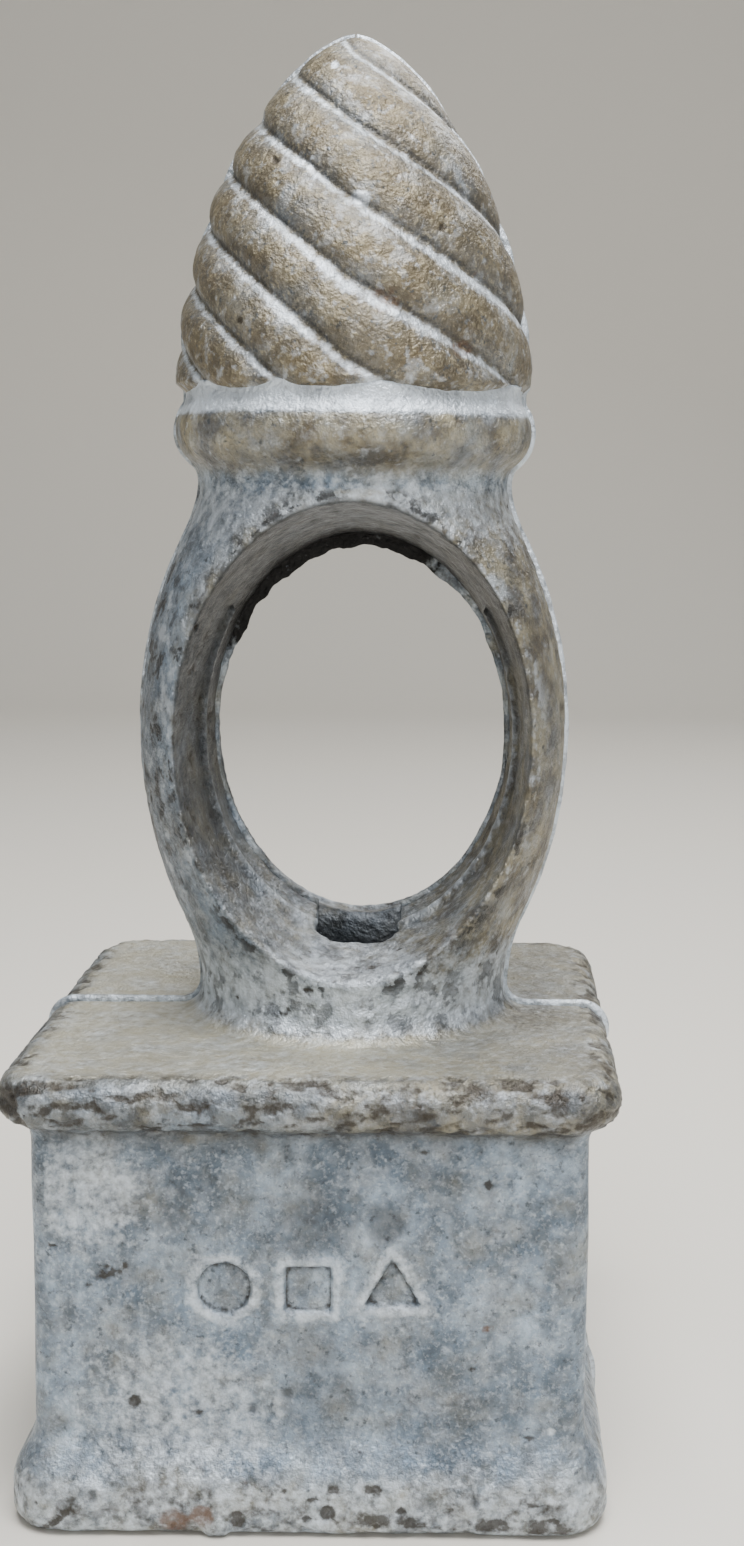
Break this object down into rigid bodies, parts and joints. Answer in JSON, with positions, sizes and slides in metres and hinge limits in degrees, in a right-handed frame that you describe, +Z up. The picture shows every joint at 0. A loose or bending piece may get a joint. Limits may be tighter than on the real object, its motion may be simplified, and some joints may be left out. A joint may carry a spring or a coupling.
{
  "type": "signal post finial",
  "caption": "Hollow cast cap for a railway signal post: square socket with an overhanging plate, pierced oval ring, bead and spiral-fluted acorn top.",
  "frame": {"origin": "centre of the square socket, on the surface that its rim stands on", "axes": "+Z up the post axis, towards the acorn's tip; -Y is the front, with the punched marks; +X is to the right seen from the front"},
  "size_m": [0.1804, 0.178, 0.4327],
  "materials": {
    "front_casting": "weathered, dull, with a white bloom",
    "back_casting": "weathered, dull, with a white bloom",
    "seam_metal": "rough, brighter on its crest"
  },
  "bodies": {
    "root": {"front_half_casting": "front_casting", "back_half_casting": "back_casting", "left_seam_bead": "seam_metal", "right_seam_bead": "seam_metal", "ring_seam_fin": "seam_metal"}
  },
  "joints": []
}
